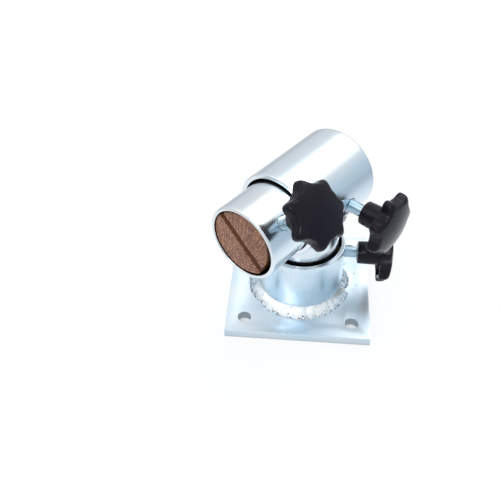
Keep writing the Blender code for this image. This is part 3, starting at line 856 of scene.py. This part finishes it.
class VISE_OT_welds(Operator):
    """The bead round the base tube, its spatter, and the bead under the head"""

    bl_idname = "vise.welds"
    bl_label = "Welds"

    def execute(self, context):
        settings = context.scene.vise
        sizes = settings.welds
        tubes = settings.tubes
        plate_top = settings.plate.thickness
        finish = kept("plated_weld", plated_weld, settings.finishes)

        def on_plate(radius, angle):
            return plate_top + weld_gap

        wall = tubes.base_outer + weld_gap
        # Stretches at the bead's left and right sides, painted bluish grey as shade
        dull = ((-168, 17), (16, 24))
        bead = bead_mesh("base_bead", sizes, wall, sizes.base_leg, on_plate, 1, 3.0, -9, dull)
        grains = [(bead, upright)]
        chance = random.Random(11)
        spatter_reach = (0.0004, 0.006)
        spatter_radius = (0.0003, 0.0006)
        for index in range(sizes.spatter):
            angle = chance.uniform(0, full_turn)
            away = wall + sizes.base_leg + chance.uniform(*spatter_reach)
            size = chance.uniform(*spatter_radius)
            bm = bmesh.new()
            bmesh.ops.create_icosphere(bm, subdivisions=2, radius=size)
            drop = from_bmesh("spatter", bm)
            drop.shade_smooth()
            centre = (away * math.cos(angle), away * math.sin(angle), plate_top + size * 0.55)
            grains.append((drop, Matrix.Translation(centre)))
        mesh = joined("base_bead", grains)
        piece("base_bead", mesh, upright, "base", finish, "weld_metal", "base_weld")

        head_radius = tubes.head_outer + weld_gap
        sideways = Vector(joints["head_lock_turn"]["axis"])

        def underside(radius, angle):
            across = radius * math.cos(angle) * sideways.x + radius * math.sin(angle) * sideways.y
            return tubes.head_height - math.sqrt(head_radius**2 - across**2)

        bead = bead_mesh("post_bead", sizes, tubes.pipe + weld_gap, sizes.post_leg, underside, -1, 8.0, 100)
        piece("post_bead", bead, upright, "head", finish, "weld_metal", "post_weld")
        return {"FINISHED"}


class VISE_OT_jaws(Operator):
    """The two oak jaws"""

    bl_idname = "vise.jaws"
    bl_label = "Jaws"

    def execute(self, context):
        settings = context.scene.vise
        rasp_end = settings.tubes.jaw_front + 0.005
        rasp_start = rasp_end - 0.100
        rasp_outer = 0.040
        for node, body, pith, light, reach, back in (
            ("moving_jaw", "moving_jaw", (0.030, -0.050), 1.0, 0.0255, 0.0028),
            ("fixed_jaw", "jaw_barrel", (-0.042, 0.028), 1.15, 0.0268, 0.0010),
        ):
            finish = oiled_oak("oiled_oak_" + node, settings.finishes, pith, light)
            # The lower corner of each jaw is rasped round, so that it clears the tube
            outline = [(reach, rasp_start), (rasp_outer, rasp_start)]
            outline += [(rasp_outer, rasp_end), (reach, rasp_end)]
            rasp = turned("rasp", outline, 96, closed=True)
            moved = jaw_place @ Matrix.Translation((-back, 0, 0))
            mesh = carved(frame["nodes"][node].data.copy(), [(rasp, moved)])
            piece("oak_" + node, smoothed(mesh, 20), upright, body, finish, "oak", node)
        return {"FINISHED"}


class VISE_OT_screws(Operator):
    """Threaded studs, countersunk screws, pads and the hidden steel parts"""

    bl_idname = "vise.screws"
    bl_label = "Screws"

    def execute(self, context):
        settings = context.scene.vise
        sizes = settings.screws
        tubes = settings.tubes
        bright_turned = {"along": (1, 1, 1), "roughness": (0.20, 0.32), "film": (0.9, 0.3)}
        finish = kept("zinc_plated_screw", zinc_plated_steel, settings.finishes, **bright_turned)
        slot = "zinc_plated_steel"

        # The clamp screw ends in a neck with a groove for its clip
        neck_end, shoulder = 0.0158, 0.0222
        groove_start, groove_end = neck_end + 0.0012, neck_end + 0.0028
        neck_radius, groove_radius = 0.0032, 0.0025
        neck_top = shoulder + 0.0005
        thread = threaded("clamp_thread", sizes, shoulder, sizes.clamp_hub + sizes.embedded)
        outline = [(0, neck_end), (neck_radius, neck_end), (neck_radius, groove_start)]
        outline += [(groove_radius, groove_start), (groove_radius, groove_end), (neck_radius, groove_end)]
        outline += [(neck_radius, neck_top), (0, neck_top)]
        neck = turned("clamp_neck", outline, 40)
        mesh = joined("clamp_thread", [(thread, upright), (neck, upright)])
        piece("clamp_thread", mesh, clamp_place, "clamp_screw", finish, slot, "clamp_stud")

        # Each lock's stud ends over its pad, and has a hole in its tip for the pad's stem
        pad_space, stem_radius, stem_depth = 0.0018, 0.0023, 0.0032
        tip = tubes.pipe + pad_space
        hole = rod_mesh("stem_hole", stem_radius, tip - overshoot, tip + stem_depth, 32)
        for name, hub in (("head_lock", sizes.head_hub), ("base_lock", sizes.base_hub)):
            stud = threaded(name + "_thread", sizes, tip, hub + sizes.embedded)
            mesh = carved(stud, [(hole, upright)])
            place = lock_place(name + "_turn")
            piece(name + "_thread", mesh, place, name + "_screw", finish, slot, name + "_stud")

        top = tubes.pipe - head_depth
        for name, station in zip(("front", "rear"), jaw_screw_stations(tubes)):
            mesh = socket_screw("jaw_screw_" + name, sizes, top, top - sizes.screw_length)
            place = jaw_screw_place(station)
            piece("jaw_screw_" + name, mesh, place, "jaw_barrel", finish, slot, "fixed_jaw_screw_" + name)

        pressed = zinc_plated_steel("zinc_plated_clip", settings.finishes, kept_solid=True, **bright_turned)
        hidden = ("pressure_plate", "pressure_plate_screw_left", "pressure_plate_screw_right", "clamp_clip")
        for node in hidden:
            refinish(node, pressed)
        brass = kept("turned_brass", turned_brass, settings.finishes)
        for node in ("head_lock_pad", "base_lock_pad"):
            refinish(node, brass)
        return {"FINISHED"}


def socket_screw(name, sizes, top, tip):
    """Countersunk screw with a hexagon socket, along the local Z axis."""
    sides = 48
    corner_turn = math.pi / 3
    broken = 0.0001

    def hexagon(angle, height, scale=1.0):
        within = (angle % corner_turn) - corner_turn / 2
        return scale * sizes.socket / math.cos(within), height

    depth = sizes.head_height * 0.75
    rings = [
        [(0, 0, top - depth - 0.0003)],
        closed_loop(sides, hexagon, top - depth, 0.9),
        closed_loop(sides, hexagon, top - broken),
        closed_loop(sides, hexagon, top, 1.06),
        ring(sizes.head_radius - broken, top, sides),
        ring(sizes.head_radius, top - broken, sides),
        ring(sizes.shank, top - sizes.head_height, sides),
        ring(sizes.shank, tip + sizes.shank, sides),
        [(0, 0, tip)],
    ]
    return shell(name, rings, edges=[0, 0, 0.4, 1, 1, 0.5, 0, 0, 0])


def knob_mesh(name, sizes, bore, bore_end):
    """Star knob with a smooth dome, rounded lobes and a pocket in its back."""
    sides = sizes.lobes * 28
    dome_rings = 14
    edge_rings = 7
    back_rings = 4
    back_round = 0.0015
    back = sizes.rim_bottom + back_round
    roof = sizes.rim_bottom + sizes.pocket

    def dome(radius):
        return sizes.height - (sizes.height - sizes.rim_top) * (radius / sizes.tip) ** 2

    dome_low = dome(sizes.dome_valley)

    def outline(angle, height):
        """Radius of the star, and how near the angle is to the middle of a lobe."""
        lean = (height - sizes.rim_bottom) / (dome_low - sizes.rim_bottom)
        valley = sizes.valley + (sizes.dome_valley - sizes.valley) * lean
        wave = math.cos(sizes.lobes * angle)
        lobe = (1 + wave) / 2
        # The lobes are narrower than the valleys between them
        wave -= 0.45 * (1 - wave**2)
        return (sizes.tip + valley) / 2 + (sizes.tip - valley) / 2 * wave, lobe

    def edge(angle, share):
        """The rounding from the dome, at share zero, to the wall; it is larger at the lobes."""
        top_radius, lobe = outline(angle, dome_low)
        size = 0.0014 + 0.0030 * lobe
        high = Vector((top_radius - size, dome(top_radius - size)))
        corner = Vector((top_radius, dome(top_radius)))
        low_height = corner.y - size
        low = Vector((outline(angle, low_height)[0], low_height))
        return (1 - share) ** 2 * high + 2 * share * (1 - share) * corner + share**2 * low

    def on_dome(angle, share):
        radius = edge(angle, 0).x * share
        return radius, dome(radius)

    def on_wall(angle, share):
        start = edge(angle, 1)
        height = start.y + (back - start.y) * share
        return outline(angle, height)[0], height

    def inside(angle, inset, height):
        return outline(angle, back)[0] - inset, height

    rings = [[(0, 0, sizes.height)]]
    rings += [closed_loop(sides, on_dome, step / dome_rings) for step in range(1, dome_rings)]
    rings += [closed_loop(sides, edge, step / edge_rings) for step in range(edge_rings + 1)]
    rings += [closed_loop(sides, on_wall, share) for share in (0.33, 0.66, 1)]
    for step in range(1, back_rings + 1):
        swing = quarter_turn * step / back_rings
        inset = back_round * (1 - math.cos(swing))
        rings.append(closed_loop(sides, inside, inset, back - back_round * math.sin(swing)))
    # The pocket's wall and roof, then the hub and its bore
    for inset, height in (
        (sizes.wall - 0.0004, sizes.rim_bottom),
        (sizes.wall, sizes.rim_bottom + 0.0004),
        (sizes.wall + 0.0003, roof - 0.0008),
        (sizes.wall + 0.0011, roof),
    ):
        rings.append(closed_loop(sides, inside, inset, height))
    for radius, height in (
        (sizes.hub_root + 0.0010, roof),
        (sizes.hub_root + 0.0003, roof - 0.0003),
        (sizes.hub_root, roof - 0.0010),
        (sizes.hub_end + 0.0002, sizes.rim_bottom / 2),
        (sizes.hub_end, 0.0009),
        (sizes.hub_end - 0.0003, 0.0003),
        (sizes.hub_end - 0.0009, 0),
        (bore + 0.0016, 0),
        (bore + 0.0012, 0.0004),
        (bore, 0.0006),
        (bore, bore_end),
    ):
        rings.append(ring(radius, height, sides))
    rings.append([(0, 0, bore_end)])
    return shell(name, rings, smooth_degrees=40)


class VISE_OT_knobs(Operator):
    """The three star knobs"""

    bl_idname = "vise.knobs"
    bl_label = "Knobs"

    def execute(self, context):
        settings = context.scene.vise
        screws = settings.screws
        finish = kept("moulded_plastic", moulded_plastic, settings.finishes)
        for name, place, hub, turn_degrees in (
            ("clamp", clamp_place, screws.clamp_hub, 11.2),
            ("head_lock", lock_place("head_lock_turn"), screws.head_hub, 13.3),
            ("base_lock", lock_place("base_lock_turn"), screws.base_hub, 0.9),
        ):
            mesh = knob_mesh(name + "_star", settings.knobs, screws.bore, screws.embedded + clearance)
            turn = Matrix.Rotation(math.radians(turn_degrees), 4, "Z")
            place = place @ Matrix.Translation((0, 0, hub)) @ turn
            piece(name + "_star", mesh, place, name + "_screw", finish, "black_plastic", name + "_knob")
        return {"FINISHED"}


def white_paper_floor(tree, half_side):
    """Pale floor that keeps a soft shadow; half_side is half the side of the plate on it.

    Polished metal sees it bright near the vise, and dimmer and bluer far off at the right.
    """
    camera_glow = 0.80
    tree.nodes.clear()
    add = partial(add_node, tree)
    paper = add("BsdfDiffuse", {"Color": (0.86, 0.88, 0.90, 1)})
    glow = add("Emission", ((1, 1, 1, 1), 1))
    path = add("LightPath", output=None).outputs
    spot = add("NewGeometry", output="Position")
    away = add("VectorMath", (spot,), "Value", operation="LENGTH")
    sides = add("SeparateXYZ", (spot,), None).outputs
    across = add("VectorMath", (spot,), operation="ABSOLUTE")
    across = add("SeparateXYZ", (across,), None).outputs
    out = add("Math", (across["X"], across["Y"]), operation="MAXIMUM")
    clear = add("MapRange", (out, half_side, half_side + 0.0005))
    level = add("MapRange", (away, 0.10, 0.50, 1.16, 0.76))
    for share in (
        # Behind the vise the mirrored floor is dimmer: painted shade
        add("MapRange", (sides["Y"], 0.05, 0.16, 1, 0.84)),
        # Under the plate, and a little way round it, the floor lies in shade
        add("MapRange", (clear, 0, 1, 0.45, 1)),
        add("MapRange", (out, half_side + 0.002, half_side + 0.020, 0.78, 1)),
    ):
        level = add("Math", (level, share), operation="MULTIPLY")
    beside = add("MapRange", (sides["X"], 0.10, 0.40))
    tint = {0: beside, 6: (0.94, 0.97, 1, 1), 7: (0.77, 0.89, 1, 1)}
    tint = add("Mix", tint, 2, data_type="RGBA")
    mirrored = add("Emission", (tint, level))
    share = add("Math", (path["Is Camera Ray"], camera_glow), operation="MULTIPLY")
    # Under the plate the glow that the camera sees is halved: painted shade
    seen = add("MapRange", (clear, 0, 1, 0.5, 1))
    share = add("Math", (share, seen), operation="MULTIPLY")
    mixed = add("MixShader", (share, paper, glow))
    mixed = add("MixShader", (path["Is Glossy Ray"], mixed, mirrored))
    add("OutputMaterial", (mixed,), None)


def studio_light(tree):
    """Pale room with soft panels, white where the camera looks past the vise."""
    tree.nodes.clear()
    add = partial(add_node, tree)
    path = add("LightPath", output=None).outputs
    direction = add("TexCoord", output="Generated")
    height = add("SeparateXYZ", (direction,), "Z")
    rising = add("MapRange", (height, 0.1, 0.8))
    light = {0: rising, 6: (0.76, 0.79, 0.83, 1), 7: (1, 1, 1, 1)}
    light = add("Mix", light, 2, data_type="RGBA")
    # A broad window high at the back right, a smaller one at the left, a bluish wall at the right,
    # and a small bright lamp behind the camera, which draws the ridges of the knobs
    for bearing, rise, inner, outer, tint in (
        (34, 54, 12, 34, (0.9, 0.9, 0.9)),
        (-95, 52, 8, 24, (0.9, 0.9, 0.9)),
        (92, 2, 12, 40, (-0.20, -0.10, -0.04)),
        (205, 46, 5, 15, (5, 5, 5.4)),
    ):
        bearing, rise, inner, outer = (math.radians(angle) for angle in (bearing, rise, inner, outer))
        level = math.cos(rise)
        aim = Vector((math.sin(bearing) * level, math.cos(bearing) * level, math.sin(rise)))
        facing = add("VectorMath", (direction, aim), "Value", operation="DOT_PRODUCT")
        edges = (facing, math.cos(outer), math.cos(inner))
        lit = add("MapRange", edges, interpolation_type="SMOOTHSTEP")
        light = add("VectorMath", (tint, lit, light), operation="MULTIPLY_ADD")
    room = add("Background", (light, 1))
    white = add("Background", ((1, 1, 1, 1), 1))
    mixed = add("MixShader", (path["Is Camera Ray"], room, white))
    add("OutputWorld", (mixed,), None)


class VISE_OT_stage(Operator):
    """Floor, soft light and camera"""

    bl_idname = "vise.stage"
    bl_label = "Stage"

    def execute(self, context):
        scene = context.scene
        sizes = scene.vise.stage
        scene.view_settings.view_transform = "Standard"

        floor_mesh = bpy.data.meshes.new("floor")
        half = sizes.floor / 2
        corners = [(-half, -half, 0), (half, -half, 0), (half, half, 0), (-half, half, 0)]
        floor_mesh.from_pydata(corners, [], [(0, 1, 2, 3)])
        floor = bpy.data.objects.new("floor", floor_mesh)
        floor.location.z = -0.0002
        scene.collection.objects.link(floor)
        material = bpy.data.materials.new("white_paper_floor")
        material.use_nodes = True
        white_paper_floor(material.node_tree, scene.vise.plate.side / 2)
        floor_mesh.materials.append(material)

        world = bpy.data.worlds.new("studio")
        scene.world = world
        world.use_nodes = True
        studio_light(world.node_tree)

        lamp = bpy.data.lights.new("softbox", "AREA")
        lamp.shape = "RECTANGLE"
        lamp.size = lamp.size_y = 0.9
        lamp.energy = 2.2
        softbox = bpy.data.objects.new("softbox", lamp)
        scene.collection.objects.link(softbox)
        place = Vector((0.52, 0.78, 1.4))
        aim = Vector((0, 0, 0.08))
        softbox.location = place
        softbox.rotation_euler = (aim - place).to_track_quat("-Z", "Y").to_euler()

        camera = bpy.data.objects.new("camera", bpy.data.cameras.new("camera"))
        scene.collection.objects.link(camera)
        camera.data.sensor_fit = "HORIZONTAL"
        camera.data.sensor_width = 36
        camera.data.lens = sizes.lens
        camera.data.clip_start = 0.01
        yaw = math.radians(-5.27)
        pitch = math.radians(44.4)
        roll = math.radians(-0.46)
        camera_position = (-0.00675, -0.39974, 0.43606)
        sight = Vector((math.sin(yaw) * math.cos(pitch), math.cos(yaw) * math.cos(pitch), -math.sin(pitch)))
        right = Vector((math.cos(yaw), -math.sin(yaw), 0))
        above = right.cross(sight).normalized()
        right, above = (
            math.cos(roll) * right + math.sin(roll) * above,
            math.cos(roll) * above - math.sin(roll) * right,
        )
        matrix = Matrix((right, above, -sight)).transposed().to_4x4()
        matrix.translation = camera_position
        camera.matrix_world = matrix
        scene.camera = camera
        return {"FINISHED"}


class VISE_PT_panel(Panel):
    """Buttons for each group of pieces, and their sizes"""

    bl_idname = "VISE_PT_panel"
    bl_label = "Knife vise"
    bl_space_type = "VIEW_3D"
    bl_region_type = "UI"
    bl_category = "Vise"

    def draw(self, context):
        settings = context.scene.vise
        for maker in makers:
            self.layout.operator(maker.bl_idname)
        for title in ("plate", "tubes", "welds", "screws", "knobs", "finishes", "stage"):
            box = self.layout.box()
            box.label(text=title.capitalize())
            group = getattr(settings, title)
            for key in group.__annotations__:
                box.prop(group, key)


groups = (PlateSizes, TubeSizes, WeldSizes, ScrewSizes, KnobSizes, Finishes, StageSizes, ViseSettings)
makers = (
    VISE_OT_base_plate,
    VISE_OT_tubes,
    VISE_OT_welds,
    VISE_OT_jaws,
    VISE_OT_screws,
    VISE_OT_knobs,
    VISE_OT_stage,
)


def register():
    """Register the settings, the operators and the panel."""
    for item in groups + makers + (VISE_PT_panel,):
        bpy.utils.register_class(item)
    bpy.types.Scene.vise = PointerProperty(type=ViseSettings)


def unregister():
    """Take the settings, the operators and the panel out again."""
    del bpy.types.Scene.vise
    for item in reversed(groups + makers + (VISE_PT_panel,)):
        bpy.utils.unregister_class(item)


def main():
    """Build every group of pieces."""
    register()
    bpy.ops.vise.base_plate()
    bpy.ops.vise.tubes()
    bpy.ops.vise.welds()
    bpy.ops.vise.jaws()
    bpy.ops.vise.screws()
    bpy.ops.vise.knobs()
    bpy.ops.vise.stage()


if __name__ == "__main__":
    main()
